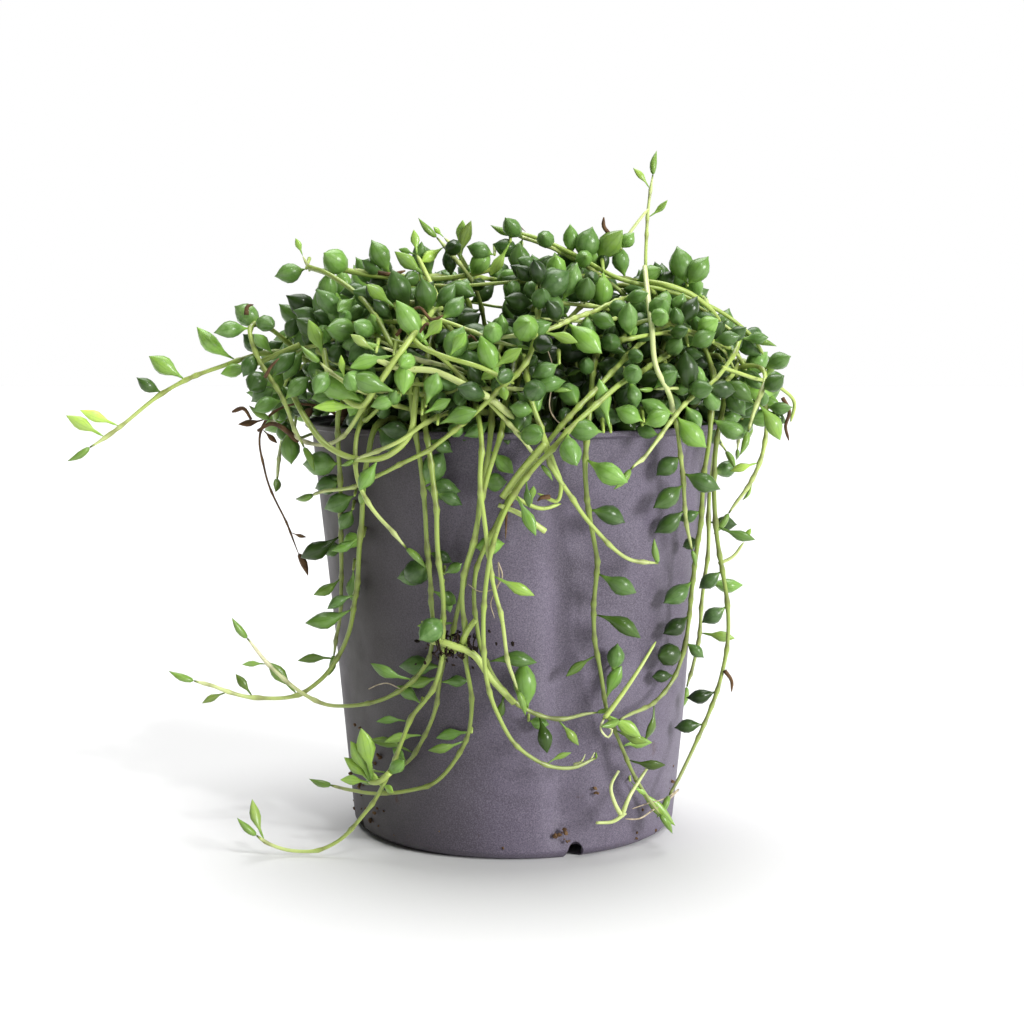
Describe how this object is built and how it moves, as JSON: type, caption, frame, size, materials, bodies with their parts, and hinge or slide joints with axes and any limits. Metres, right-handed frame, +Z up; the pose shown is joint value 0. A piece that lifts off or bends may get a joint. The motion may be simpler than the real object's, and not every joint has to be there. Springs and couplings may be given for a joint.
{
  "type": "potted trailing succulent",
  "caption": "Trailing succulent with bead-like leaves in a round tapering grower's pot, its stems spilling over the rim and down the sides. Stands on a table or shelf.",
  "frame": {"origin": "centre of the pot's flat underside, on the surface that it stands on", "axes": "+Z up along the pot's axis, -Y towards the side that the picture shows, +X to the right from there"},
  "size_m": [0.1991, 0.1525, 0.1921],
  "materials": {
    "pot_plastic": "matt taupe plastic with a fine speckle",
    "peat": "dark, damp peat mix; wood stands in for it",
    "leafy_stem": "young stems and leaves, light yellow-green with a soft gloss; leather stands in for living leaf",
    "bead_stem": "ripe bead leaves, blue-green with a soft gloss; leather stands in for living leaf",
    "dry_stem": "withered brown stem, matt; leather stands in for it"
  },
  "bodies": {
    "root": {"mound_stem_01": "bead_stem", "mound_stem_02": "bead_stem", "mound_stem_03": "bead_stem", "mound_stem_04": "bead_stem", "mound_stem_05": "bead_stem", "mound_stem_06": "bead_stem", "mound_stem_07": "bead_stem", "mound_stem_08": "bead_stem", "mound_stem_09": "bead_stem", "mound_stem_10": "bead_stem", "mound_stem_11": "bead_stem", "mound_stem_12": "bead_stem", "mound_stem_13": "bead_stem", "mound_stem_14": "bead_stem", "pot": "pot_plastic", "side_strand_01": "bead_stem", "side_strand_02": "bead_stem", "side_strand_03": "bead_stem", "side_strand_04": "bead_stem", "side_strand_05": "bead_stem", "side_strand_06": "bead_stem", "side_strand_07": "bead_stem", "side_strand_08": "bead_stem", "side_strand_09": "bead_stem", "side_strand_10": "bead_stem", "soil": "peat", "strand_centre_arch": "leafy_stem", "strand_dry_thread": "dry_stem", "strand_far_right": "leafy_stem", "strand_far_right_pale": "leafy_stem", "strand_hook": "leafy_stem", "strand_knot_fall": "leafy_stem", "strand_knot_ground": "leafy_stem", "strand_knot_left": "leafy_stem", "strand_knot_low": "leafy_stem", "strand_knot_right": "leafy_stem", "strand_knot_sweep": "leafy_stem", "strand_left_hanger_a": "leafy_stem", "strand_left_hanger_b": "leafy_stem", "strand_left_loop": "leafy_stem", "strand_left_trailer": "leafy_stem", "strand_mid_pale": "leafy_stem", "strand_mid_pale_low": "leafy_stem", "strand_pale_left": "leafy_stem", "strand_right_beads": "leafy_stem", "strand_right_hanger": "leafy_stem", "strand_right_outer": "leafy_stem", "strand_right_straight": "leafy_stem", "strand_short_curl": "leafy_stem", "strand_tall_shoot": "leafy_stem", "strand_thick_green": "leafy_stem", "strand_thin_front": "leafy_stem", "strand_top_arch": "leafy_stem", "strand_top_left": "leafy_stem", "strand_top_right": "leafy_stem", "strand_top_shoot": "leafy_stem"}
  },
  "joints": []
}
